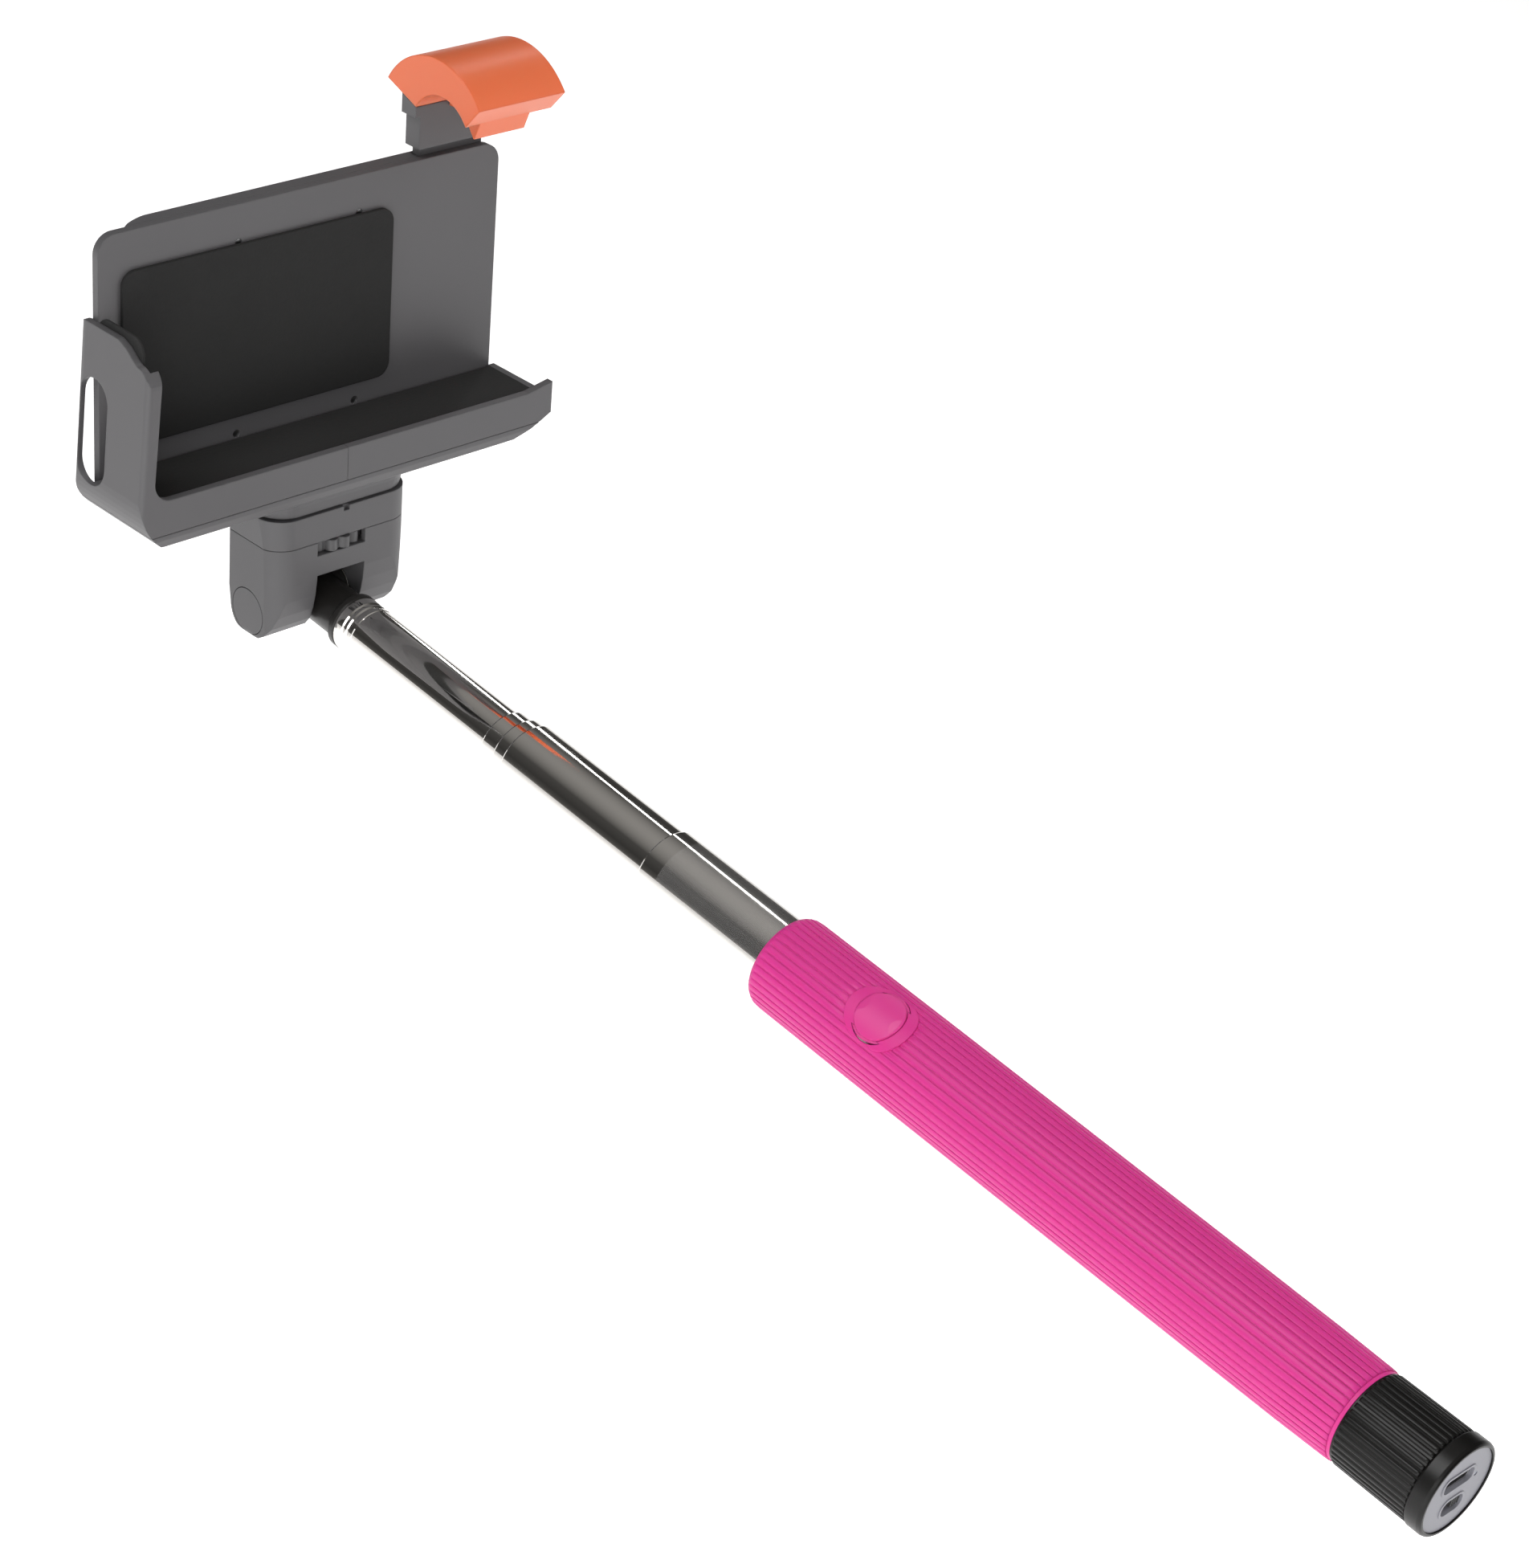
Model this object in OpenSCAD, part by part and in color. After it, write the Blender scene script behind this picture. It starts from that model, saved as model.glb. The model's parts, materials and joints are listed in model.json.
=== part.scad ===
// Hand-held extending stick with a sprung phone clamp and a shutter button in the grip.
// Millimetres. Origin at the middle of the end plate's outer face, on the pole's axis.
// +Y along the pole to the head, +Z up, +X to the clamp's right as seen from the handle.

/* [Grip] */
// Y of the sleeve's rear end
grip_back = 19.1; // [18:0.1:21]
// Y of the sleeve's front end
grip_front = 158.6; // [150:0.1:165]
// Largest radius of the sleeve, between its fine ribs
grip_r = 9.42; // [9.2:0.01:10]
// Sleeve bore, which the outer pole section is pushed into
grip_bore_r = 7.95; // [7.9:0.01:8.1]
// Turn of the shutter button about the pole, from straight up
button_roll = 29; // [0:1:90]
// Y of the shutter button's middle
button_y = 130.8; // [110:0.1:145]

/* [End cap] */
// Radius of the smooth rim
rim_r = 9.3; // [9:0.01:10]
// Height of the rim beyond the face plate
rim_lip = 0.3; // [0:0.05:0.6]
// Middle of the charging socket, as X and Z
socket_at = [-0.6, 2.5];
// Middle of the switch window, as X and Z
window_at = [-0.2, -3.2];
// Middle of the light hole, as X and Z
light_at = [4.4, 1.2];

/* [Pole] */
// Outer radius of each section, thinnest first
section_r = [5.85, 6.40, 6.95, 7.42, 7.93];
// Y of each section's front end as drawn
section_front = [286.9, 239.8, 235.7, 232.7, 191.9];
// Y of each section's rear end as drawn
section_back = [130, 88.8, 88.3, 87.7, 47.5];
// Tube wall
wall = 0.3; // [0.2:0.05:0.4]
// Length of the reduced mouth at each section's front
mouth = 2.5; // [2:0.5:4]
// Running clearance between a section and the mouth around it
run_gap = 0.05; // [0.02:0.01:0.1]
// Length of the split bush on each section's rear end
bush_len = 14; // [8:1:20]

/* [Head] */
// Y of the tilt axis
pivot_y = 301.41; // [290:0.01:310]
// Tilt axis as Y and Z in the head's own drawing
axis_at = [1.9, 0.2];
// Lean of the head away from the handle
head_tilt = 6; // [-20:0.5:84]
// X of the head block's left and right sides at its top
block_x = [-16.9, 18.2];
// Y of the head block's front and back faces
block_y = [-7, 9.4];
// Y of the swivel axis, midway between those faces
swivel_y = 1.2; // [0:0.1:3]
// Height of the seam between the block and its cover
block_seam = 16.2; // [15.5:0.1:17]
// Height of the cover's top
block_top_z = 22.6; // [22:0.1:23]

// Largest radius of the thumbwheel
wheel_r = 8.8; // [8:0.1:9]
// Number of lobes around the thumbwheel
wheel_lobes = 16; // [12:1:20]

/* [Clamp] */
// Clamp opening as drawn, where the jaw rests on its stop
opening = 58.6; // [55:0.1:85]
// Height of the phone's lower edge above the tilt axis
rest_z = 37.5; // [37:0.05:38]
// Right end of the tray
tray_right = 48.3; // [40:0.1:55]
// Front face of the tray
tray_front = -13.15; // [-15:0.05:-12]
// Height of the seam around the tray
tray_seam = 32; // [31:0.1:33]
// Left and right ends of the jaw
jaw_x = [25.1, 46.7];

/* [Hidden] */
$fn = 96;
eps = 0.01;
face_y = 0;
knuckle_half = 5.25;
barrel_r = 4.9;
neck_r = 5;
pivot_r = 2;
top_z = rest_z + opening;
film = 0.1;
plate_screws = [[-17, 38], [-17, 78], [12, 78], [12, 38]];

module bx(x, y, z) {
    translate([x[0], y[0], z[0]]) cube([x[1] - x[0], y[1] - y[0], z[1] - z[0]]);
}

module ycyl(r, y) {
    translate([0, y[0], 0]) rotate([-90, 0, 0]) cylinder(r = r, h = y[1] - y[0]);
}

module xcyl(r, x) {
    translate([x[0], 0, 0]) rotate([0, 90, 0]) cylinder(r = r, h = x[1] - x[0]);
}

module zcyl(r, z) {
    translate([0, 0, z[0]]) cylinder(r = r, h = z[1] - z[0]);
}

// Turns a profile of [radius, y] points about the pole's axis.
module yturn(points) {
    rotate([-90, 0, 0]) rotate_extrude() polygon(points);
}

module ytube(r_out, r_in, y) {
    yturn([[r_in, y[0]], [r_out, y[0]], [r_out, y[1]], [r_in, y[1]]]);
}

// Extrudes a drawing in Y and Z along X.
module xslab(x) {
    translate([x[0], 0, 0]) rotate([90, 0, 90]) linear_extrude(x[1] - x[0]) children();
}

// Extrudes a drawing in X and Z along Y.
module yslab(y) {
    translate([0, y[1], 0]) rotate([90, 0, 0]) linear_extrude(y[1] - y[0]) children();
}

module zslab(z) {
    translate([0, 0, z[0]]) linear_extrude(z[1] - z[0]) children();
}

module rounded(w, h, r) {
    square([w - 2 * r, h], center = true);
    square([w, h - 2 * r], center = true);
    for (x = [-1, 1])
        for (y = [-1, 1])
            translate([x * (w / 2 - r), y * (h / 2 - r)]) circle(r);
}

// Points of an arc about c from angle a0 to a1.
function arc(c, r, a0, a1, n = 8) =
    [for (i = [0:n]) c + r * [cos(a0 + (a1 - a0) * i / n), sin(a0 + (a1 - a0) * i / n)]];

module head() {
    translate([0, pivot_y, 0]) rotate([-head_tilt, 0, 0])
        translate([0, -axis_at[0], -axis_at[1]]) children();
}

module at_axis() {
    translate([0, axis_at[0], axis_at[1]]) children();
}

module at_swivel() {
    translate([0, swivel_y, 0]) children();
}

module at_button() {
    translate([0, button_y, 0]) rotate([0, -button_roll, 0]) children();
}

// ---- handle ----

module grip_sleeve() {
    color([0.85, 0.16, 0.5]) difference() {
        union() {
            yturn([[grip_bore_r, grip_back], [8.75, grip_back], [8.87, grip_back + 1], [9.12, 31.5],
                [9.22, 50], [9.37, 100], [grip_r, 122], [grip_r, grip_front - 0.6],
                [9.2, grip_front], [grip_bore_r, grip_front]]);
            at_button() intersection() {
                zslab([7.9, 11]) rounded(11, 14.4, 5.4);
                ycyl(9.85, [-10, 10]);
            }
        }
        ycyl(grip_bore_r, [grip_back - 1, grip_front + 1]);
        at_button() zcyl(4.85, [8.2, 12]);
        at_button() zcyl(5.35, [7, 9]);
        at_button() bx([-2.2, 2.2], [-120, 0], [7, 8.2]);
    }
}

module shutter_button() {
    color([0.88, 0.2, 0.54]) at_button() intersection() {
        rotate_extrude() polygon([[0, 8.75], [5.2, 8.75], [5.2, 8.95], [4.75, 8.95], [4.75, 10],
            [4.4, 10.2], [3, 10.35], [0, 10.4]]);
        ycyl(10.35, [-6, 6]);
    }
}

module dome_switch() {
    color([0.8, 0.8, 0.82]) at_button()
        rotate_extrude() polygon([[0, 8.1], [3, 8.1], [3, 8.18], [2, 8.36], [0, 8.42]]);
}

module button_flex() {
    color([0.75, 0.45, 0.12]) at_button() {
        bx([-1.8, 1.8], [25.2 - button_y, 1], [8, 8.1]);
        bx([-1.8, 1.8], [25.2 - button_y, 25.3 - button_y], [4, 8.1]);
        zcyl(4.2, [8, 8.1]);
    }
}

module end_cap() {
    color([0.04, 0.04, 0.045]) difference() {
        yturn([[0, -rim_lip], [8.85, -rim_lip], [9.15, -0.05], [rim_r, 0.45], [rim_r, 2.9],
            [8.95, 3.3], [8.92, 8], [8.85, grip_back - 0.1], [7.9, grip_back - 0.1], [7.9, 25],
            [0, 25]]);
        ycyl(8.45, [-1, face_y + 1.5]);
        ycyl(7.2, [face_y + 1, 26]);
        rotate([0, -button_roll, 0]) bx([-2.2, 2.2], [22, 26], [6, 9]);
    }
}

module usb_outline(grow) {
    rounded(7.5 + 2 * grow, 2.9 + 2 * grow, 1.1 + grow);
}

module face_plate() {
    color([0.62, 0.62, 0.66]) difference() {
        union() {
            ycyl(8.4, [face_y, face_y + 1.45]);
            translate([socket_at[0], 0, socket_at[1]])
                yslab([face_y - 0.15, face_y + 1]) usb_outline(0.5);
            translate([window_at[0], 0, window_at[1]])
                yslab([face_y - 0.15, face_y + 1]) rounded(6.4, 4.2, 1.9);
        }
        translate([socket_at[0], 0, socket_at[1]]) yslab([-1, face_y + 2]) usb_outline(0);
        translate([window_at[0], 0, window_at[1]]) yslab([-1, face_y + 2]) rounded(5.4, 3.2, 1.4);
        translate([light_at[0], 0, light_at[1]]) ycyl(0.42, [-1, face_y + 2]);
    }
}

module usb_shell() {
    color([0.75, 0.75, 0.76]) translate([socket_at[0], 0, socket_at[1]]) difference() {
        yslab([face_y + 0.6, face_y + 6]) usb_outline(-0.05);
        yslab([face_y, face_y + 5.6]) usb_outline(-0.35);
    }
}

module usb_tongue() {
    color([0.05, 0.05, 0.05]) translate([socket_at[0], 0, socket_at[1]])
        bx([-1.9, 1.9], [face_y + 1.2, face_y + 5.6], [0.15, 0.75]);
}

module charge_board() {
    color([0.05, 0.25, 0.1]) bx([-6.5, 6.5], [face_y + 2, 24.5], [0.3, 1.1]);
}

module radio_module() {
    color([0.1, 0.1, 0.11]) bx([-4, 4], [face_y + 9, face_y + 18], [1.1, 2.9]);
}

module switch_body() {
    color([0.7, 0.7, 0.72]) translate([window_at[0], 0, 0]) difference() {
        bx([-4.6, 4.6], [face_y + 1.8, face_y + 6.2], [-5.2, 0.3]);
        bx([-2.9, 2.9], [face_y + 1, face_y + 3.8], [-4.75, -1.65]);
    }
}

module switch_slider() {
    color([0.08, 0.08, 0.08]) {
        bx([-0.3, 2.4], [face_y + 1.5, face_y + 3.7], [-4.6, -1.8]);
        translate([1.05, 0, window_at[1]]) yslab([face_y + 0.6, face_y + 1.6]) rounded(2.7, 2.8, 1.25);
        for (x = [0.1:0.6:1.9])
            bx([x, x + 0.3], [face_y + 0.25, face_y + 0.7], [-4.2, -2.2]);
    }
}

module led_pipe() {
    color([0.8, 0.85, 0.95]) translate([light_at[0], 0, light_at[1]])
        ycyl(0.36, [face_y + 0.15, face_y + 1.9]);
}

module battery() {
    color([0.1, 0.25, 0.55]) yslab([27, 45]) rounded(11.5, 6.4, 1.5);
}

module battery_tray() {
    color([0.09, 0.09, 0.1]) difference() {
        union() {
            ycyl(7.5, [25.6, 47]);
            ycyl(7.1, [46, 50]);
        }
        bx([-5.8, 5.8], [26.8, 45.2], [-3.25, 9]);
    }
}

module label_film() {
    color([0.95, 0.95, 0.97, 0.25])
        ytube(section_r[4] + film, section_r[4], [grip_front + 0.1, 187.2]);
}

// ---- pole ----

// A tube whose front end is rolled in to run on the next thinner section.
module section(i) {
    r = section_r[i];
    y0 = section_back[i];
    y1 = section_front[i];
    r_mouth = section_r[i - 1] + run_gap;
    color([0.8, 0.8, 0.82]) yturn([[r - wall, y0], [r, y0], [r, y1 - 0.4], [r - 0.12, y1 - 0.12],
        [r - 0.32, y1], [r_mouth, y1], [r_mouth, y1 - mouth], [r - wall, y1 - mouth - 0.4]]);
}

// A split ring on a section's rear end that runs in the next thicker section.
module bush(i) {
    y0 = section_back[i];
    color([0.85, 0.85, 0.8]) difference() {
        ytube(section_r[i + 1] - wall - 0.03, section_r[i], [y0, y0 + bush_len]);
        bx([-0.5, 0.5], [y0 - 1, y0 + bush_len + 1], [0, 12]);
    }
}

module section_5() section(4);

module section_4() section(3);

module bush_4() bush(3);

module section_3() section(2);

module bush_3() bush(2);

module section_2() section(1);

module bush_2() bush(1);

// The thinnest section has two grooves rolled into a slightly wider neck.
module section_1() {
    r = section_r[0];
    neck = r + 0.1;
    y0 = section_back[0];
    y1 = section_front[0];
    groove_r = neck - 0.25;
    color([0.8, 0.8, 0.82]) yturn(concat([[r - wall, y0], [r, y0], [r, y1 - 5.4],
        [neck, y1 - 5.2]],
        [for (g = [3.8, 2.5], p = [[neck, -0.45], [groove_r, -0.15], [groove_r, 0.15], [neck, 0.45]])
            [p[0], y1 - g + p[1]]],
        [[neck, y1 - 0.2], [neck - 0.2, y1], [r - wall, y1]]));
}

module bush_1() bush(0);

module knuckle() {
    plug_r = section_r[0] - wall;
    y1 = section_front[0];
    color([0.03, 0.03, 0.035]) difference() {
        union() {
            yturn([[0, y1 - 25], [plug_r, y1 - 25], [plug_r, y1], [5.9, y1], [6.05, y1 + 0.3],
                [6.05, y1 + 1.5], [5.8, y1 + 1.8], [neck_r, y1 + 2], [neck_r, y1 + 5], [0, y1 + 5]]);
            intersection() {
                ycyl(neck_r, [y1 + 1, pivot_y]);
                bx([-knuckle_half, knuckle_half], [y1, pivot_y], [-6, 6]);
            }
            translate([0, pivot_y, 0]) xcyl(barrel_r, [-knuckle_half, knuckle_half]);
        }
        translate([0, pivot_y, 0]) xcyl(pivot_r + run_gap, [-8, 8]);
        ycyl(3.6, [y1 - 26, y1 - 3]);
    }
}

// ---- head block ----

// Block seen from its left end: an upright slab drawn in round the tilt axis at its foot.
module block_side() {
    polygon(concat([[block_y[0], 30], [block_y[0], 8], [-6.6, 4.5], [-5.9, 1.2], [-4.9, -1.5],
        [-3.4, -3.4], [-1.2, -4.8]], arc(axis_at, 5.7, 270, 360, 12),
        [[8.4, 6], [9.2, 10], [block_y[1], 14], [block_y[1], 30]]));
}

module block_front() {
    polygon(concat([[block_x[0], 30], [block_x[0], block_top_z], [block_x[0] + 0.4, block_seam]],
        arc([block_x[0] + 2.2, -3.9], 1.6, 180, 270), arc([10.3, -0.8], 4.7, -90, -8, 6),
        [[17, block_seam], [block_x[1], block_top_z], [block_x[1], 30]]));
}

module block_plan() {
    r = [5.8, 3];
    hull() for (x = block_x, k = [0, 1])
        translate([x - sign(x) * r[k], block_y[k] + (k == 0 ? r[k] : -r[k])]) circle(r[k]);
}

module block_solid() {
    intersection() {
        xslab([-20, 20]) block_side();
        yslab([-12, 12]) block_front();
        zslab([-10, 30]) block_plan();
    }
}

module block_lower() {
    color([0.06, 0.06, 0.065]) head() difference() {
        intersection() {
            block_solid();
            bx([-20, 20], [-12, 12], [-12, block_seam - 0.05]);
        }
        bx([-5.9, 5.9], [-10, axis_at[0] + 5.05], [-10, 8.8]);
        at_swivel() zcyl(9.15, [13.2, 17]);
        bx([-5.95, 5.95], [-12, 12], [13.2, 17]);
        at_axis() {
            xcyl(pivot_r + 0.02, [-20, 20]);
            xcyl(5.05, [-20, -12.6]);
            xcyl(5.05, [12.6, 20]);
            xcyl(3.6, [-12.7, -10.8]);
            xcyl(3.6, [10.8, 12.7]);
        }
        for (x = [-11.4, 11.4]) translate([x, swivel_y, 0]) zcyl(0.85, [7, 17]);
    }
}

module block_top() {
    color([0.06, 0.06, 0.065]) head() difference() {
        intersection() {
            block_solid();
            bx([-20, 20], [-12, 12], [block_seam + 0.05, block_top_z]);
        }
        at_swivel() zcyl(3.4, [10, 25]);
        for (x = [-11.4, 11.4]) translate([x, swivel_y, 0]) {
            zcyl(1.05, [14, 25]);
            zcyl(2, [20.2, 25]);
        }
        bx([0.4, 1.8], [-8, -6.2], [21.6, 24]);
    }
}

// Cross-recessed head on a plain shank, pointing up.
module screw(r, r_head, z_tip, z_seat, z_top) {
    zcyl(r, [z_tip, z_seat]);
    difference() {
        zcyl(r_head, [z_seat, z_top]);
        for (turn = [0, 90])
            rotate([0, 0, turn]) bx([-1.2, 1.2], [-0.22, 0.22], [z_top - 0.6, z_top + 1]);
    }
}

module block_screws() {
    color([0.5, 0.5, 0.52]) head() for (x = [-11.4, 11.4])
        translate([x, swivel_y, 0]) screw(0.84, 1.9, 9, 20.2, 21.5);
}

module pivot_bolt() {
    color([0.6, 0.6, 0.62]) head() at_axis() {
        xcyl(pivot_r, [-12, 12.4]);
        difference() {
            xcyl(3.5, [-12.55, -10.85]);
            xslab([-13, -11.6]) circle(1.3, $fn = 6);
        }
    }
}

module pivot_nut() {
    color([0.6, 0.6, 0.62]) head() at_axis() difference() {
        xslab([10.85, 12.55]) circle(3.5, $fn = 6);
        xcyl(pivot_r + eps, [10, 13]);
    }
}

module pivot_cap(x) {
    color([0.07, 0.07, 0.075]) head() intersection() {
        block_solid();
        at_axis() xcyl(4.9, x);
    }
}

module pivot_cap_left() pivot_cap([-20, -12.65]);

module pivot_cap_right() pivot_cap([12.65, 20]);

module washer(x) {
    color([0.9, 0.9, 0.88]) head() at_axis() difference() {
        xcyl(4.2, x);
        xcyl(pivot_r + run_gap, [-9, 9]);
    }
}

module washer_left() washer([-5.85, -5.35]);

module washer_right() washer([5.35, 5.85]);

module thumbwheel() {
    color([0.05, 0.05, 0.055]) head() at_swivel() difference() {
        zslab([13.5, 15.9]) polygon([for (a = [0:2.5:357.5])
            (wheel_r - 1.1 + 1.1 * abs(cos(wheel_lobes * (a - 8) / 2))) * [sin(a), -cos(a)]]);
        zslab([12, 17]) circle(3.9, $fn = 6);
    }
}

module camera_screw() {
    color([0.7, 0.7, 0.72]) head() at_swivel() {
        zcyl(3.15, [13.5, 29.5]);
        zslab([13.5, 15.9]) circle(3.88, $fn = 6);
    }
}

module swivel_pad() {
    color([0.03, 0.03, 0.03]) head() at_swivel() difference() {
        zcyl(6.5, [block_top_z, block_top_z + 0.4]);
        zcyl(3.5, [19, 25]);
    }
}

// ---- clamp ----

module thread_insert() {
    color([0.78, 0.62, 0.25]) head() at_swivel() difference() {
        zcyl(4.6, [block_top_z + 0.5, 31]);
        zcyl(3.2, [20, 32]);
    }
}

// X of the drafted end wall's outer face, and of the front strip's inner edge, at height z.
function wall_x(z) = -50.6 - 0.0657 * (66.8 - z);
function strip_x(z) = -47.7 - 0.08 * (63 - z);

// Tray outline seen from the front: round lower left corner, lower edge swept up at the right.
module tray_outline() {
    sweep = [tray_right - 24, 6.7];
    polygon(concat([[wall_x(75), 75]], arc([wall_x(39.3) + 12.5, 39.3], 12.5, 180, 270, 14),
        [for (t = [0:0.125:1]) [24 + sweep[0] * t, 26.8 + sweep[1] * t * t]],
        [[tray_right, 75]]));
}

// End wall and tray seen from the left end.
module tray_side() {
    polygon(concat([[10.2, 66.3]], arc([7.2, 66.3], 3, 0, 90),
        [[-3, 69.3], [-5.5, 68.4], [-7.8, 66.9]], arc([-9.35, 62.3], 3.8, 90, 180),
        [[tray_front, 31], [-12.6, 29.4], [-10, 27.7], [-6, 26.9], [-1, 26.7], [4, 26.9],
        [8, 28.2], [10.2, 30.8]]));
}

// Cuts an upright edge of the drafted end wall round, at the back (1) or the front (-1).
module end_round(r, y, side) {
    translate([wall_x(0), y, 0]) rotate([0, atan(0.0657), 0]) translate([r, -side * r, 0])
        difference() {
            translate([-r - 2, side > 0 ? 0 : -r - 2, 10]) cube([r + 2, r + 2, 70]);
            zcyl(r, [9, 81]);
        }
}

module tray_base() {
    foot = [[23, 34.4, 15.6, 6.2], [25, 35.4, 16, 6.4], [26.6, 38, 16.8, 6.8], [29.5, 45, 17.6, 7.4]];
    color([0.055, 0.055, 0.06]) head() difference() {
        union() {
            difference() {
                intersection() {
                    yslab([-20, 20]) tray_outline();
                    xslab([-60, 60]) tray_side();
                    bx([-60, 60], [-20, 20], [20, tray_seam - 0.05]);
                }
                bx([-44, 40], [-11, 5.4], [29.6, 33]);
            }
            at_swivel() zcyl(6.8, [28, 31.2]);
            for (i = [0:len(foot) - 2])
                hull() for (k = [foot[i], foot[i + 1]])
                    translate([0.65, swivel_y, k[0]]) linear_extrude(eps)
                        rounded(k[1], k[2], k[3], $fn = 32);
        }
        at_swivel() zcyl(4.6, [20, 32]);
        end_round(3, 10.2, 1);
        end_round(1.2, tray_front, -1);
    }
}

module back_plate() {
    color([0.055, 0.055, 0.06]) head() difference() {
        yslab([5.5, 7.2]) translate([-1, 59.05]) rounded(96, 53.9, 4);
        for (p = plate_screws) translate([p[0], 0, p[1]]) ycyl(0.8, [5, 8]);
    }
}

module back_cover() {
    color([0.055, 0.055, 0.06]) head() difference() {
        union() {
            difference() {
                intersection() {
                    yslab([7.2, 12]) translate([3, 59.5]) rounded(86, 53, 5);
                    xslab([-60, 60]) polygon([[7.2, 33], [10.2, 33], [11.2, 33.8], [11.6, 35.5],
                        [11.6, 82.5], [11.2, 84.6], [10.2, 86], [7.2, 86]]);
                }
                yslab([7, 10.2]) translate([3, 59.5]) rounded(82.4, 49.4, 3.5);
            }
            for (p = plate_screws) translate([p[0], 0, p[1]]) ycyl(3, [7.2, 10.4]);
            bx([31, 41], [7.3, 10.4], [35.2, 36.5]);
        }
        bx([27.7, 44.2], [7, 9.8], [80, 90]);
        for (p = plate_screws) translate([p[0], 0, p[1]]) {
            ycyl(1.05, [7, 12]);
            ycyl(2.1, [10, 12]);
        }
    }
}

module lip(x) {
    intersection() {
        yslab([-20, 20]) tray_outline();
        bx([x[0], x[1]], [-20, 20], [tray_seam + 0.05, 75]);
        union() {
            yslab([tray_front, tray_front + 1.6])
                polygon([[-60, 20], [60, 20], [60, 42], [tray_right, 40.3], [42, 39.1], [-60, 39.1]]);
            bx([-60, 60], [tray_front, 5.4], [35.2, 36.6]);
            bx([tray_right - 1.6, 60], [tray_front, 5.4], [20, rest_z - 0.2]);
        }
    }
}

module front_left() {
    color([0.055, 0.055, 0.06]) head() difference() {
        union() {
            lip([-60, -3.85]);
            intersection() {
                yslab([-20, 20]) tray_outline();
                xslab([-60, -4]) tray_side();
                bx([-60, -4], [-20, 20], [tray_seam + 0.05, 75]);
                yslab([-20, 20]) polygon([[-60, 75], [-60, 20], [-48.4, 20], [-48.4, 33.5],
                    [wall_x(36.6) + 1.4, 36.6], [wall_x(75) + 1.4, 75]]);
            }
            intersection() {
                xslab([-60, -4]) tray_side();
                yslab([tray_front, tray_front + 1.6]) difference() {
                    polygon([[wall_x(75) + 1, 75], [wall_x(36) + 1, 36], [strip_x(39.1) + 4, 36],
                        [strip_x(39.1) + 4, 39.1], [strip_x(43), 43], [strip_x(75), 75]]);
                    translate([strip_x(43) + 3.9, 43]) circle(3.9);
                }
            }
        }
        xslab([-60, -48]) translate([3.8, 48.1]) rounded(9.2, 21.6, 4.5);
        end_round(3, 10.2, 1);
        end_round(1.2, tray_front, -1);
    }
}

module front_right() {
    color([0.055, 0.055, 0.06]) head() lip([-3.75, 60]);
}

module end_pad() {
    color([0.02, 0.02, 0.02]) head() difference() {
        intersection() {
            yslab([-9, 5.3]) polygon([[wall_x(36.7) + 1.4, 36.7], [wall_x(70.7) + 1.4, 70.7],
                [-48.6, 70.7], [-48.6, 36.7]]);
            xslab([-60, -40]) translate([-1.85, 52]) rounded(14.3, 37.4, 3);
        }
        xslab([-60, -48]) translate([3.8, 47]) rounded(9.2, 23.8, 4.5);
    }
}

module floor_pad() {
    color([0.02, 0.02, 0.02]) head() bx([-48.4, 46.5], [-9, 4.6], [36.6, rest_z - 0.05]);
}

module back_pad() {
    color([0.02, 0.02, 0.02]) head()
        yslab([4.7, 5.5]) translate([-12, 60]) rounded(64, 36, 3);
}

module clamp_screws() {
    color([0.3, 0.3, 0.32]) head() for (p = plate_screws)
        translate([p[0], 0, p[1]]) rotate([-90, 0, 0]) screw(0.79, 1.9, 5.8, 10, 11.3);
}

module jaw_arm() {
    color([0.07, 0.075, 0.075]) head() difference() {
        union() {
            bx([28, 43.9], [7.5, 9.5], [44, 90]);
            xslab(jaw_x) polygon([[5.35, 88.2], [9.7, 88.2], [9.7, 98.85], [5.35, 97.25]]);
        }
        bx([32.5, 39.5], [7, 10], [43, 57]);
        bx([24, jaw_x[0] + 1.2], [5, 10], [88, 95]);
        for (x = [31, 41]) translate([x, 7.55, 0]) {
            zcyl(0.95, [88, 100]);
            zcyl(1.55, [88, 90.1]);
        }
    }
}

// Jaw seen from its left end: a crescent between two arcs, cut at the lip and at the arm.
module jaw_side() {
    intersection() {
        difference() {
            translate([-0.3, 91.9]) circle(17, $fn = 144);
            translate([-2.4, 92.8]) circle(9);
        }
        polygon([[-2.4, 92.8], [-9.77, 97.96], [-21.6, 111.2], [-21.6, 130], [32.1, 130],
            [32.1, 107.2], [5.4, 97.29]]);
    }
}

module jaw() {
    color([0.85, 0.36, 0.16]) head() difference() {
        union() {
            xslab(jaw_x) jaw_side();
            xslab([28.6, 41.1]) polygon([[-10.05, 98.3], [-8.5, 94.5], [-8.1, 94.5], [-5.4, 98.2],
                [-4.6, 102], [-9, 102]]);
            for (x = [33.4, 38.4, 43.6])
                xslab([x, x + 1.8]) polygon([[-4.5, top_z + 0.1], [5.2, top_z + 0.1], [5.2, 97.25],
                    [5.2, 101], [-4.5, 102.5]]);
        }
        for (x = [31, 41]) translate([x, 7.55, 0]) zcyl(0.8, [96, 104]);
    }
}

module jaw_screws() {
    color([0.3, 0.3, 0.32]) head() for (x = [31, 41])
        translate([x, 7.55, 0]) mirror([0, 0, 1]) screw(0.79, 1.5, -103.5, -90.1, -88.8);
}

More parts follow.
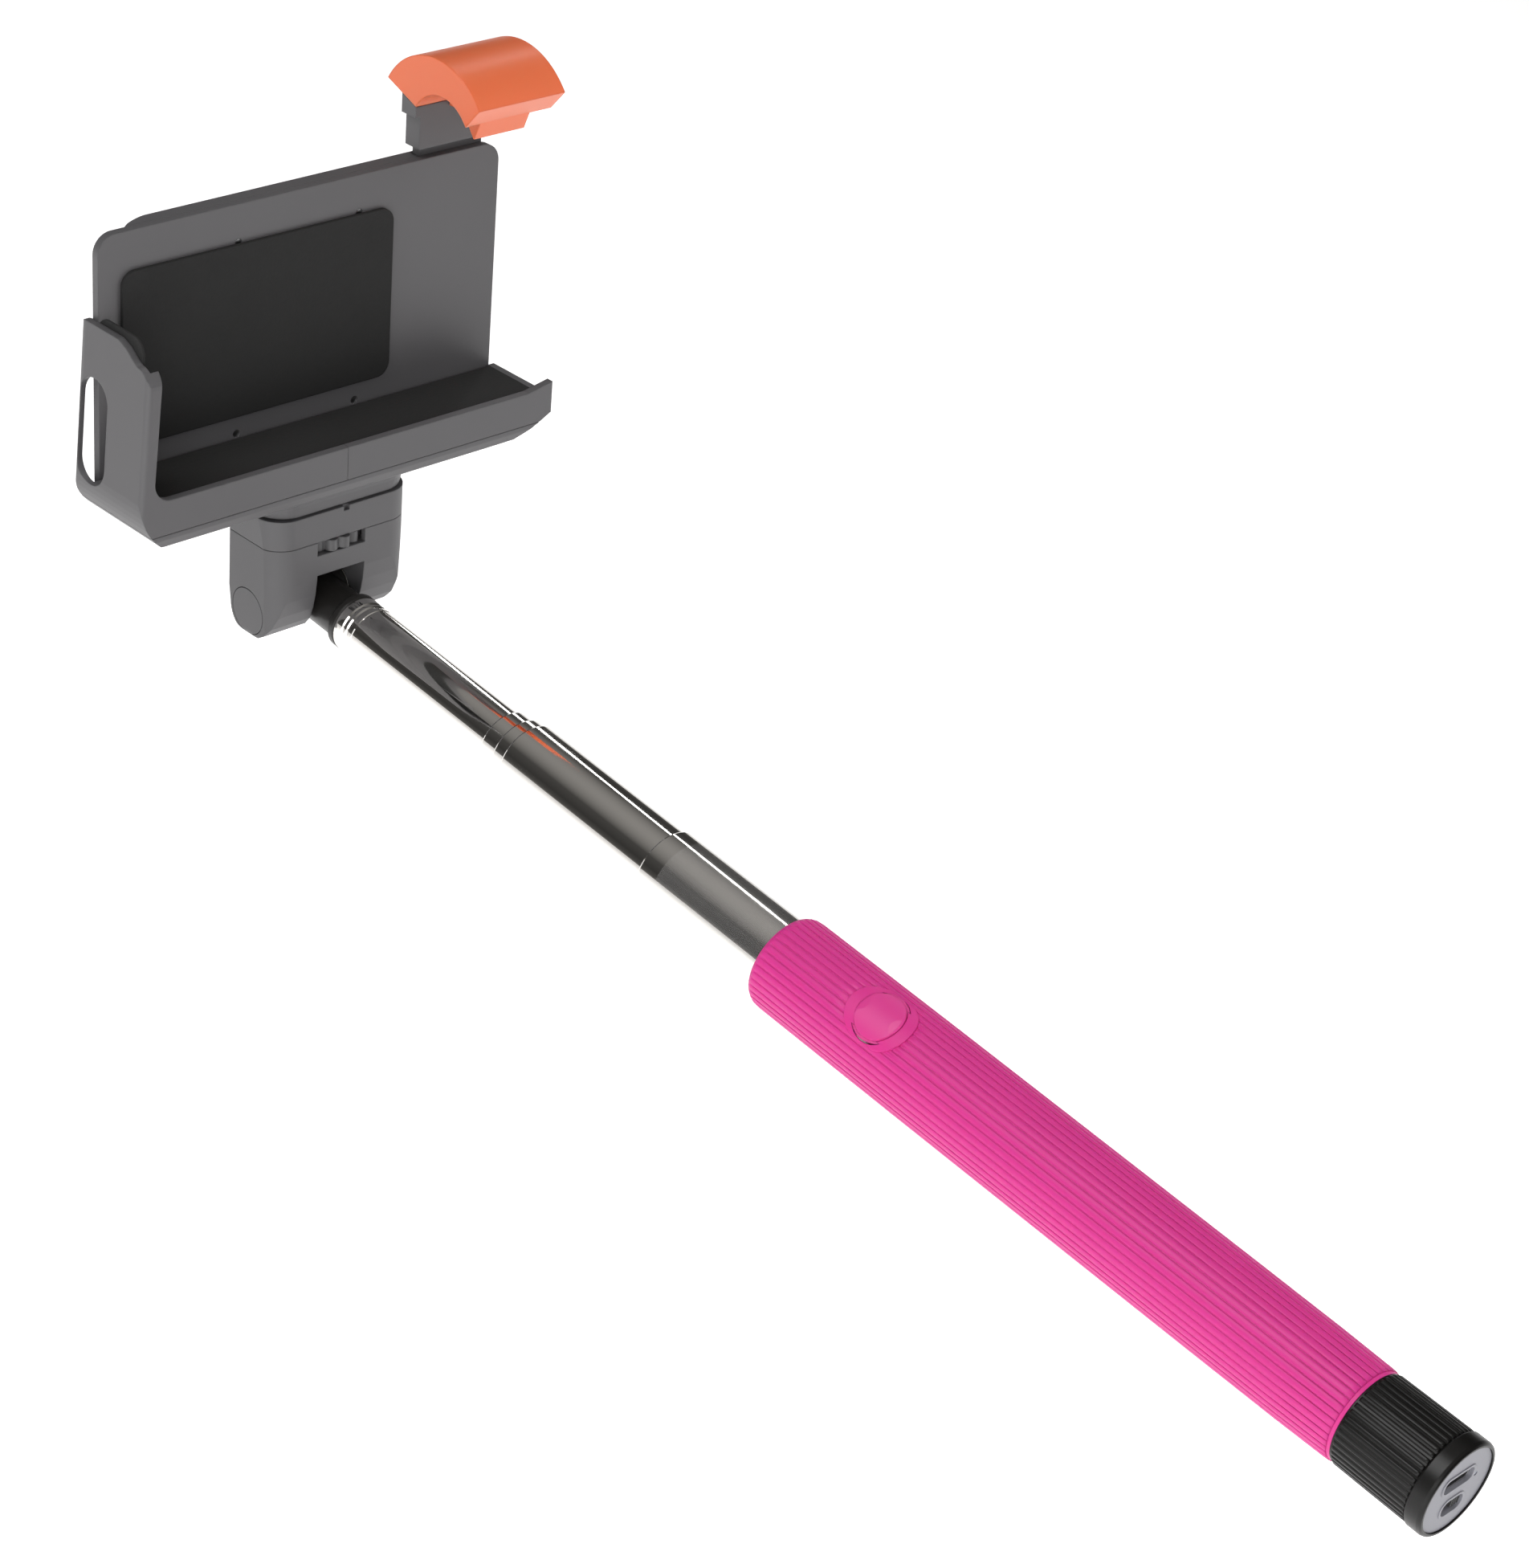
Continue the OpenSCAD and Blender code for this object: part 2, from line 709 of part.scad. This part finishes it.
module spring(x) {
    color([0.7, 0.7, 0.72]) head() translate([x, 8.65, 0]) difference() {
        zcyl(1.25, [36.5, 57]);
        zcyl(0.75, [36, 58]);
        for (z = [37.4:1.2:56]) zslab([z, z + 0.4]) difference() {
            circle(2);
            circle(1);
        }
    }
}

module spring_left() spring(34.4);

module spring_right() spring(37.6);

grip_sleeve();
shutter_button();
dome_switch();
button_flex();
end_cap();
face_plate();
usb_shell();
usb_tongue();
charge_board();
radio_module();
switch_body();
switch_slider();
led_pipe();
battery();
battery_tray();
label_film();
section_5();
section_4();
bush_4();
section_3();
bush_3();
section_2();
bush_2();
section_1();
bush_1();
knuckle();
block_lower();
block_top();
block_screws();
pivot_bolt();
pivot_nut();
pivot_cap_left();
pivot_cap_right();
washer_left();
washer_right();
thumbwheel();
camera_screw();
swivel_pad();
thread_insert();
tray_base();
back_plate();
back_cover();
front_left();
front_right();
end_pad();
floor_pad();
back_pad();
clamp_screws();
jaw_arm();
jaw();
jaw_screws();
spring_left();
spring_right();
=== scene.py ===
import bmesh
import bpy
import json
import math
from mathutils import Matrix, Vector


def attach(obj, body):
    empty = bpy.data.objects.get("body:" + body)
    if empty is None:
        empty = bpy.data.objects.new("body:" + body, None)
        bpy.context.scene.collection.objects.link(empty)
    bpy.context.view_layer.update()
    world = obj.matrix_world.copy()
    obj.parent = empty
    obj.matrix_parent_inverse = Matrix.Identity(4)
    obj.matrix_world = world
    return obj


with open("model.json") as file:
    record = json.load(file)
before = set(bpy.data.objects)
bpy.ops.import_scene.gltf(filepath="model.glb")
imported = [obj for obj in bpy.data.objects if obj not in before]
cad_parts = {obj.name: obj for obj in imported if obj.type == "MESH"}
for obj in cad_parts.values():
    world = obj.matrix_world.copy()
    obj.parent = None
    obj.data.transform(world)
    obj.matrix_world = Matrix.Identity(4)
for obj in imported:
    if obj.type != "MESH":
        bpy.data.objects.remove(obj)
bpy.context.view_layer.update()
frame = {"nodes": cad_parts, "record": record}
nodes = frame["nodes"]
print("frame loaded:", len(nodes), "nodes")


def mathNode(tree, operation, second=None, third=None):
    node = tree.nodes.new("ShaderNodeMath")
    node.operation = operation
    if second is not None:
        node.inputs[1].default_value = second
    if third is not None:
        node.inputs[2].default_value = third
    return node


def newMaterial(name):
    material = bpy.data.materials.new(name)
    material.use_nodes = True
    tree = material.node_tree
    return material, tree, tree.nodes["Principled BSDF"]


def newObject(name, data):
    made = bpy.data.objects.new(name, data)
    bpy.context.scene.collection.objects.link(made)
    return made


view = {
    "place": (-0.4149, -0.19263, 0.40717),
    "aim": (0.0, 0.17166, 0.03178),
    "roll": math.radians(10.66),
    "lens": 85.46,
    "sensor": 36,
    "nearest": 0.01,
}


def makeCamera(v):
    camera = newObject("camera", bpy.data.cameras.new("camera"))
    camera.data.lens = v["lens"]
    camera.data.sensor_width = v["sensor"]
    camera.data.clip_start = v["nearest"]
    ahead = (Vector(v["aim"]) - Vector(v["place"])).normalized()
    level = ahead.cross(Vector((0, 0, 1))).normalized()
    upward = level.cross(ahead)
    right = level * math.cos(v["roll"]) + upward * math.sin(v["roll"])
    top = right.cross(ahead)
    turn = Matrix((right, top, -ahead)).transposed()
    camera.matrix_world = Matrix.Translation(v["place"]) @ turn.to_4x4()
    bpy.context.scene.camera = camera


ground = {
    "half": 6.0,
    "height": -0.16,
    "tone": 0.93,
    "roughness": 0.9,
    "glow": 0.6,
}


def makeFloor(g):
    half, z = g["half"], g["height"]
    mesh = bpy.data.meshes.new("floor")
    mesh.from_pydata([(-half, -half, z), (half, -half, z), (half, half, z), (-half, half, z)],
                     [], [(0, 1, 2, 3)])
    material, tree, shader = newMaterial("paleFloor")
    shader.inputs["Base Color"].default_value = (g["tone"], g["tone"], g["tone"], 1)
    shader.inputs["Roughness"].default_value = g["roughness"]
    shader.inputs["Emission Color"].default_value = (1, 1, 1, 1)
    shader.inputs["Emission Strength"].default_value = g["glow"]
    mesh.materials.append(material)
    floor = newObject("floor", mesh)


def makeLamp(name, place, aim, size, watts, glossy=True):
    lamp = bpy.data.lights.new(name, "AREA")
    lamp.shape = "RECTANGLE"
    lamp.size, lamp.size_y = size
    lamp.energy = watts
    holder = newObject(name, lamp)
    holder.location = place
    away = Vector(aim) - Vector(place)
    holder.rotation_mode = "QUATERNION"
    holder.rotation_quaternion = away.to_track_quat("-Z", "Y")
    holder.visible_glossy = glossy


room = {
    # how bright the room is by height: 0 straight down, 0.5 level, 1 straight up
    "stops": [(0.0, 1.0), (0.46, 0.95), (0.51, 0.10), (0.62, 0.05),
              (0.78, 0.08), (0.90, 0.32), (1.0, 0.55)],
    "tint": (1.0, 0.97, 0.93),
    "strength": 0.75,
}


def makeWorld(r):
    # white to the eye, and for the polished tubes a room with a pale floor and a dark middle band
    world = bpy.data.worlds.new("room")
    bpy.context.scene.world = world
    world.use_nodes = True
    tree = world.node_tree
    tree.nodes.clear()
    new, link = tree.nodes.new, tree.links.new
    out = new("ShaderNodeOutputWorld")
    mix = new("ShaderNodeMixShader")
    plain = new("ShaderNodeBackground")
    walls = new("ShaderNodeBackground")
    path = new("ShaderNodeLightPath")
    place = new("ShaderNodeTexCoord")
    split = new("ShaderNodeSeparateXYZ")
    ramp = new("ShaderNodeValToRGB")
    # from -1 to 1 into 0 to 1
    rise = mathNode(tree, "MULTIPLY_ADD", 0.5, 0.5)
    link(place.outputs["Generated"], split.inputs[0])
    link(split.outputs["Z"], rise.inputs[0])
    link(rise.outputs[0], ramp.inputs[0])
    stops = ramp.color_ramp.elements
    while len(stops) < len(r["stops"]):
        stops.new(0.5)
    for stop, (at, level) in zip(stops, r["stops"]):
        stop.position = at
        stop.color = (*(level * part for part in r["tint"]), 1)
    link(ramp.outputs["Color"], walls.inputs["Color"])
    walls.inputs["Strength"].default_value = r["strength"]
    plain.inputs["Color"].default_value = (1, 1, 1, 1)
    link(path.outputs["Is Camera Ray"], mix.inputs[0])
    link(walls.outputs[0], mix.inputs[1])
    link(plain.outputs[0], mix.inputs[2])
    link(mix.outputs[0], out.inputs["Surface"])


makeCamera(view)
makeFloor(ground)
makeWorld(room)
makeLamp("keySoftbox", place=(-0.55, 0.35, 0.95), aim=(0.0, 0.22, 0.0), size=(0.5, 0.7), watts=6.0)
makeLamp("frontSoftbox", place=(-0.75, -0.55, 0.45), aim=(0.0, 0.28, 0.04), size=(0.6, 0.6), watts=3.8)
makeLamp("stripSoftbox", place=(0.62, 0.75, 0.62), aim=(0.0, 0.2, 0.0), size=(0.03, 1.2), watts=0.8)
makeLamp("lowSoftbox", place=(-0.45, 0.0, -0.12), aim=(0.0, 0.2, 0.0), size=(0.5, 0.9), watts=1.5)
# evens out the far side without a band of its own in the tubes
makeLamp("sideSoftbox", place=(0.60, -0.10, 0.40), aim=(0.0, 0.10, 0.0), size=(0.6, 0.6), watts=3.0,
         glossy=False)
bpy.context.scene.view_settings.view_transform = "Standard"
print("camera, floor and lights made")


grainLook = {
    "fineDetail": 3,
    "broadScale": 60,
    "broadDetail": 4,
    "cornerSamples": 4,
    "bumpStrength": 0.5,
}


def makeGrainGroup(look):
    # fine moulded grain: a mottled tone, a roughness that varies and soft corners with a bump
    group = bpy.data.node_groups.new("mouldedGrain", "ShaderNodeTree")
    socket = group.interface.new_socket
    socket(name="Color", in_out="INPUT", socket_type="NodeSocketColor")
    for name in ("Roughness", "Grain Scale", "Mottle", "Depth", "Edge Softness"):
        socket(name=name, in_out="INPUT", socket_type="NodeSocketFloat")
    socket(name="Color", in_out="OUTPUT", socket_type="NodeSocketColor")
    socket(name="Roughness", in_out="OUTPUT", socket_type="NodeSocketFloat")
    socket(name="Normal", in_out="OUTPUT", socket_type="NodeSocketVector")
    new, link = group.nodes.new, group.links.new
    source, sink = new("NodeGroupInput"), new("NodeGroupOutput")
    place = new("ShaderNodeTexCoord")
    fine = new("ShaderNodeTexNoise")
    fine.inputs["Detail"].default_value = look["fineDetail"]
    broad = new("ShaderNodeTexNoise")
    broad.inputs["Scale"].default_value = look["broadScale"]
    broad.inputs["Detail"].default_value = look["broadDetail"]
    link(place.outputs["Object"], fine.inputs["Vector"])
    link(place.outputs["Object"], broad.inputs["Vector"])
    link(source.outputs["Grain Scale"], fine.inputs["Scale"])
    centred = mathNode(group, "SUBTRACT", 0.5)
    link(broad.outputs["Fac"], centred.inputs[0])
    swing = mathNode(group, "MULTIPLY_ADD", third=1.0)
    link(centred.outputs[0], swing.inputs[0])
    link(source.outputs["Mottle"], swing.inputs[1])
    tone = new("ShaderNodeVectorMath")
    tone.operation = "SCALE"
    link(source.outputs["Color"], tone.inputs[0])
    link(swing.outputs[0], tone.inputs["Scale"])
    link(tone.outputs[0], sink.inputs["Color"])
    rough = mathNode(group, "MULTIPLY")
    link(source.outputs["Roughness"], rough.inputs[0])
    link(swing.outputs[0], rough.inputs[1])
    link(rough.outputs[0], sink.inputs["Roughness"])
    soft = new("ShaderNodeBevel")
    soft.samples = look["cornerSamples"]
    link(source.outputs["Edge Softness"], soft.inputs["Radius"])
    bump = new("ShaderNodeBump")
    bump.inputs["Strength"].default_value = look["bumpStrength"]
    link(source.outputs["Depth"], bump.inputs["Distance"])
    link(fine.outputs["Fac"], bump.inputs["Height"])
    link(soft.outputs[0], bump.inputs["Normal"])
    link(bump.outputs[0], sink.inputs["Normal"])
    return group


grainGroup = makeGrainGroup(grainLook)


def moulded(name, color, roughness, grain=2500.0, mottle=0.08, depth=0.00001, edge=0.0003, **extra):
    # depth of the grain and softness of the edges are in metres
    material, tree, shader = newMaterial(name)
    group = tree.nodes.new("ShaderNodeGroup")
    group.node_tree = grainGroup
    values = {"Color": (*color, 1), "Roughness": roughness, "Grain Scale": grain,
              "Mottle": mottle, "Depth": depth, "Edge Softness": edge}
    for socket, value in values.items():
        group.inputs[socket].default_value = value
    tree.links.new(group.outputs["Color"], shader.inputs["Base Color"])
    tree.links.new(group.outputs["Roughness"], shader.inputs["Roughness"])
    tree.links.new(group.outputs["Normal"], shader.inputs["Normal"])
    for socket, value in extra.items():
        shader.inputs[socket.replace("_", " ")].default_value = value
    return material


def metal(name, color, roughness, grain, depth):
    return moulded(name, color, roughness, grain, mottle=0.25, depth=depth, edge=0.0001, Metallic=1.0)


def clearFinish(name, color, roughness, alpha):
    material, tree, shader = newMaterial(name)
    shader.inputs["Base Color"].default_value = (*color, 1)
    shader.inputs["Roughness"].default_value = roughness
    shader.inputs["Alpha"].default_value = alpha
    return material


def polishedChrome(name, color, low, high):
    # bright plating whose gloss changes a little from place to place, as handled tubes do
    material, tree, shader = newMaterial(name)
    shader.inputs["Base Color"].default_value = (*color, 1)
    shader.inputs["Metallic"].default_value = 1
    place = tree.nodes.new("ShaderNodeTexCoord")
    smudges = tree.nodes.new("ShaderNodeTexNoise")
    smudges.inputs["Scale"].default_value = 70
    smudges.inputs["Detail"].default_value = 4
    spread = tree.nodes.new("ShaderNodeMapRange")
    limits = {"From Min": 0.3, "From Max": 0.7, "To Min": low, "To Max": high}
    for socket, value in limits.items():
        spread.inputs[socket].default_value = value
    tree.links.new(place.outputs["Object"], smudges.inputs["Vector"])
    tree.links.new(smudges.outputs["Fac"], spread.inputs["Value"])
    tree.links.new(spread.outputs["Result"], shader.inputs["Roughness"])
    return material


finishes = {
    "grip_rubber": moulded("gripRubber", (0.660, 0.034, 0.255), 0.42, grain=1800, mottle=0.05,
                           depth=0.000012, edge=0.0002, Subsurface_Weight=0.12,
                           Subsurface_Scale=0.002, Specular_IOR_Level=0.3),
    "button_rubber": moulded("buttonRubber", (0.675, 0.038, 0.262), 0.40, grain=1800, mottle=0.04,
                             Subsurface_Weight=0.12, Subsurface_Scale=0.002),
    "cap_plastic": moulded("capPlastic", (0.004, 0.0037, 0.0034), 0.34, grain=2600, mottle=0.10,
                           depth=0.000008, edge=0.0002, Specular_IOR_Level=0.28),
    "face_grey": moulded("facePlate", (0.27, 0.27, 0.305), 0.42, grain=3000, mottle=0.06,
                         depth=0.000008, edge=0.00015),
    "bush_plastic": moulded("bushPlastic", (0.72, 0.72, 0.67), 0.5),
    "knuckle_black": moulded("knuckleBlack", (0.014, 0.013, 0.012), 0.33, grain=2600, mottle=0.10,
                             depth=0.000008, edge=0.0004),
    "head_black": moulded("headBlack", (0.100, 0.098, 0.102), 0.50, grain=3200,
                          depth=0.000016, edge=0.0004),
    "wheel_black": moulded("wheelBlack", (0.085, 0.084, 0.087), 0.40, grain=2600),
    "clamp_black": moulded("clampBlack", (0.088, 0.086, 0.090), 0.46, grain=3200,
                           depth=0.000014, edge=0.0004),
    "pad_foam": moulded("padFoam", (0.012, 0.012, 0.012), 0.85, grain=1400, mottle=0.30,
                        depth=0.00012, edge=0.0004),
    "jaw_orange": moulded("jawOrange", (0.720, 0.150, 0.055), 0.34, grain=1500, mottle=0.05,
                          depth=0.000006, edge=0.0005, Subsurface_Weight=0.2, Subsurface_Scale=0.003),
    "fastener_steel": metal("fastenerSteel", (0.55, 0.55, 0.56), 0.30, grain=1200, depth=0.000006),
    "spring_steel": metal("springSteel", (0.65, 0.65, 0.66), 0.22, grain=900, depth=0.000004),
    "insert_brass": metal("insertBrass", (0.78, 0.55, 0.22), 0.28, grain=900, depth=0.000005),
    "board_green": moulded("boardGreen", (0.02, 0.16, 0.06), 0.3),
    "part_black": moulded("partBlack", (0.03, 0.03, 0.03), 0.45, grain=2600, mottle=0.1),
    "flex_amber": moulded("flexAmber", (0.55, 0.24, 0.04), 0.25),
    "cell_blue": moulded("cellBlue", (0.05, 0.15, 0.40), 0.3),
    "chrome_tube": polishedChrome("chromeTube", (0.86, 0.84, 0.81), low=0.04, high=0.10),
    "clear_film": clearFinish("clearFilm", (0.92, 0.92, 0.94), 0.10, alpha=0.02),
    "light_clear": clearFinish("lightClear", (0.8, 0.88, 1.0), 0.1, alpha=0.6),
}

for sub in frame["record"]["subparts"]:
    node = nodes[sub["node"]]
    node.data.materials.clear()
    node.data.materials.append(finishes[sub["material_slot"]])
    for face in node.data.polygons:
        face.material_index = 0
print("finishes set:", len(finishes))

gripRibs = {
    "name": "grip_ribs",
    "count": 40,
    "width": 0.00132,
    "height": 0.00022,
    "profile": [(0.0198, 0.00888), (0.0212, 0.00896), (0.0315, 0.00914), (0.050, 0.00924),
                (0.075, 0.00932), (0.100, 0.00939), (0.122, 0.00944), (0.140, 0.00944),
                (0.1568, 0.00944), (0.1578, 0.00936), (0.1582, 0.00925)],
    "slot": "grip_rubber",
    # the round space that the ribs leave for the shutter button
    "clear": {"y": 0.1308, "roll": math.radians(29), "radius": 0.0052,
              "height": 0.0095, "depth": 0.003, "sides": 48},
}
capRibs = {
    "name": "cap_ribs",
    "count": 44,
    "width": 0.00094,
    "height": 0.00025,
    "profile": [(0.0033, 0.00888), (0.0039, 0.00894), (0.008, 0.00892), (0.013, 0.00889),
                (0.0184, 0.00884), (0.0187, 0.00876)],
    "slot": "cap_plastic",
}
# steps across one rib, how deep its foot sits in the part, and how full its back is
ribArch = {"steps": 8, "sink": 0.00005, "power": 0.8}


def ribMesh(piece, arch):
    # one rounded rib on top of the part: a half oval carried along the part's own profile
    steps = arch["steps"]
    points, faces = [], []
    for y, radius in piece["profile"]:
        for k in range(steps + 1):
            a = math.pi * k / steps
            x = -math.cos(a) * piece["width"] / 2
            foot = math.sqrt(radius ** 2 - x * x) - arch["sink"]
            points.append((x, y, foot + math.sin(a) ** arch["power"] * piece["height"]))
    row = steps + 1
    for i in range(len(piece["profile"]) - 1):
        for k in range(steps):
            a = i * row + k
            faces.append((a, a + row, a + row + 1, a + 1))
        faces.append((i * row + steps, (i + 1) * row + steps, (i + 1) * row, i * row))
    faces.append(tuple(range(row)))
    faces.append(tuple(reversed(range(len(points) - row, len(points)))))
    mesh = bpy.data.meshes.new(piece["name"])
    mesh.from_pydata(points, [], faces)
    return mesh


def ringTree(piece, source):
    # copies of the source piece evenly turned about the pole's axis
    tree = bpy.data.node_groups.new(piece["name"] + "_ring", "GeometryNodeTree")
    tree.interface.new_socket(name="Geometry", in_out="OUTPUT", socket_type="NodeSocketGeometry")
    count = tree.interface.new_socket(name="Count", in_out="INPUT", socket_type="NodeSocketInt")
    count.default_value = piece["count"]
    new, link = tree.nodes.new, tree.links.new
    inputs, output = new("NodeGroupInput"), new("NodeGroupOutput")
    line = new("GeometryNodeMeshLine")
    line.inputs["Offset"].default_value = (0, 0, 0)
    link(inputs.outputs["Count"], line.inputs["Count"])
    info = new("GeometryNodeObjectInfo")
    info.inputs["Object"].default_value = source
    index = new("GeometryNodeInputIndex")
    part = mathNode(tree, "DIVIDE")
    link(index.outputs[0], part.inputs[0])
    link(inputs.outputs["Count"], part.inputs[1])
    turn = mathNode(tree, "MULTIPLY", math.tau)
    link(part.outputs[0], turn.inputs[0])
    angle = new("ShaderNodeCombineXYZ")
    link(turn.outputs[0], angle.inputs["Y"])
    put = new("GeometryNodeInstanceOnPoints")
    link(line.outputs["Mesh"], put.inputs["Points"])
    link(info.outputs["Geometry"], put.inputs["Instance"])
    link(angle.outputs[0], put.inputs["Rotation"])
    real = new("GeometryNodeRealizeInstances")
    link(put.outputs["Instances"], real.inputs["Geometry"])
    paint = new("GeometryNodeSetMaterial")
    paint.inputs["Material"].default_value = finishes[piece["slot"]]
    link(real.outputs["Geometry"], paint.inputs["Geometry"])
    link(paint.outputs["Geometry"], output.inputs["Geometry"])
    return tree, count.identifier


def settle(holder, name):
    # turns the evaluated modifiers into a plain mesh on a new object
    bpy.context.view_layer.update()
    graph = bpy.context.evaluated_depsgraph_get()
    mesh = bpy.data.meshes.new_from_object(holder.evaluated_get(graph))
    bpy.data.objects.remove(holder)
    return newObject(name, mesh)


def clearRibs(ribs, spot):
    # takes the ribs away round the shutter button
    plug = bmesh.new()
    bmesh.ops.create_cone(plug, cap_ends=True, segments=spot["sides"], radius1=spot["radius"],
                          radius2=spot["radius"], depth=spot["depth"])
    turn = Matrix.Rotation(-spot["roll"], 4, "Y")
    along = Matrix.Translation((0, spot["y"], 0))
    outward = Matrix.Translation((0, 0, spot["height"]))
    bmesh.ops.transform(plug, matrix=along @ turn @ outward, verts=plug.verts)
    mesh = bpy.data.meshes.new("plug")
    plug.to_mesh(mesh)
    plug.free()
    cutter = newObject("plug", mesh)
    name = ribs.name
    ribs.name = name + "_whole"
    cut = ribs.modifiers.new("cut", "BOOLEAN")
    cut.object = cutter
    cut.operation = "DIFFERENCE"
    cut.solver = "EXACT"
    trimmed = settle(ribs, name)
    bpy.data.objects.remove(cutter)
    return trimmed


def makeRibs(piece, body):
    source = newObject(piece["name"] + "_one", ribMesh(piece, ribArch))
    tree, countKey = ringTree(piece, source)
    holder = newObject(piece["name"] + "_holder", bpy.data.meshes.new("empty"))
    modifier = holder.modifiers.new("ring", "NODES")
    modifier.node_group = tree
    modifier[countKey] = piece["count"]
    ribs = settle(holder, piece["name"])
    bpy.data.objects.remove(source)
    if "clear" in piece:
        ribs = clearRibs(ribs, piece["clear"])
    for face in ribs.data.polygons:
        face.use_smooth = len(face.vertices) == 4
    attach(ribs, body)


makeRibs(gripRibs, "handle")
makeRibs(capRibs, "handle")
print("ribs made")
